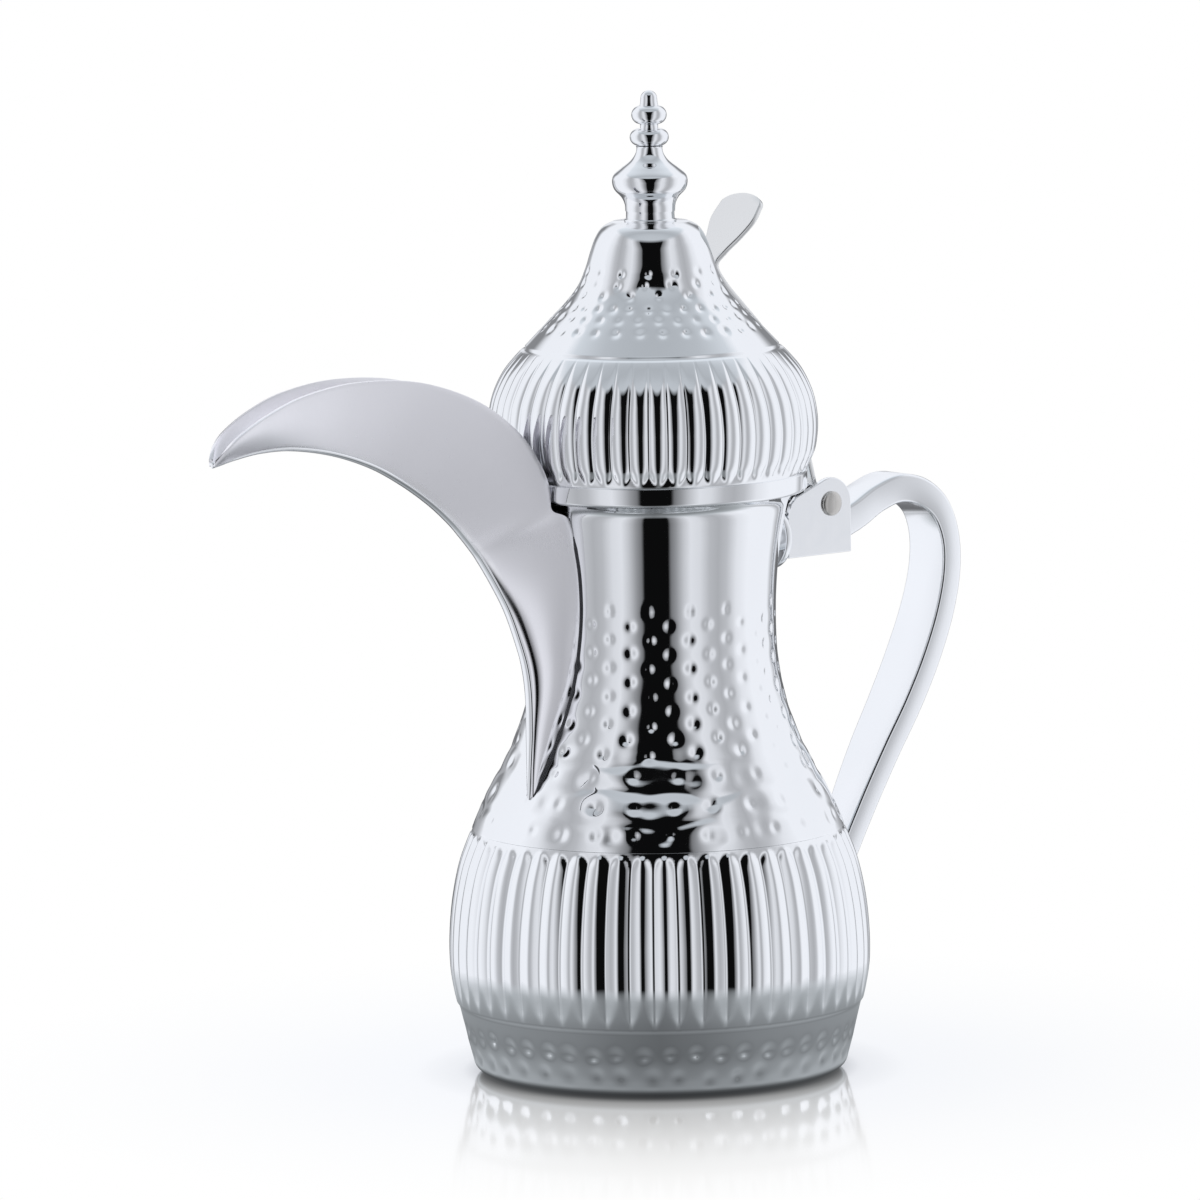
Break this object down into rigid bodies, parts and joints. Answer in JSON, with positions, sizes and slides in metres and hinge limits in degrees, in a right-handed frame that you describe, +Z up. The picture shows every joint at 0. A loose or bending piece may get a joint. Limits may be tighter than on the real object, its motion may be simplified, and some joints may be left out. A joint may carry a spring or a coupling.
{
  "type": "dallah coffee pot",
  "caption": "Tall Arabian coffee pot with a long open beak spout, a domed lid hinged at the handle and opened by a thumb lever, and a turned finial.",
  "frame": {"origin": "on the pot's axis, in the plane that the base stands on", "axes": "+Z up along the pot's axis, +X from the axis towards the handle, the spout points along -X, Y across"},
  "size_m": [0.2864, 0.128, 0.299],
  "materials": {
    "body": "mirror polish, hammered and fluted",
    "lid": "mirror polish, hammered and fluted",
    "lid_inside": "plain spun sheet",
    "base": "spun sheet with turning marks",
    "spout": "soft polish",
    "bracket": "polish",
    "handle": "polish",
    "lever": "polish",
    "finial": "mirror polish",
    "fittings": "polish",
    "rivet": "satin",
    "fasteners": "plain"
  },
  "bodies": {
    "pot": {"belly_shell": "body", "neck_shell": "body", "base_plate": "base", "spout_left": "spout", "spout_right": "spout", "spout_keel": "spout", "boss_stem": "fittings", "boss_flange": "fittings", "hinge_bracket": "bracket", "hinge_pin": "rivet", "handle": "handle", "foot_flange": "fittings"},
    "lid": {"lid_ring": "lid", "lid_shell": "lid", "lid_pan": "lid_inside", "hinge_leaf": "fittings", "thumb_lever": "lever", "finial": "finial", "finial_stud": "fasteners", "finial_washer": "fasteners", "finial_nut": "fasteners"}
  },
  "joints": [
    {"name": "lid_hinge", "type": "hinge", "parent": "pot", "child": "lid", "pos_m": [0.0643, 0, 0.1685], "axis": [0, 1, 0], "range_deg": [0, 88]}
  ]
}
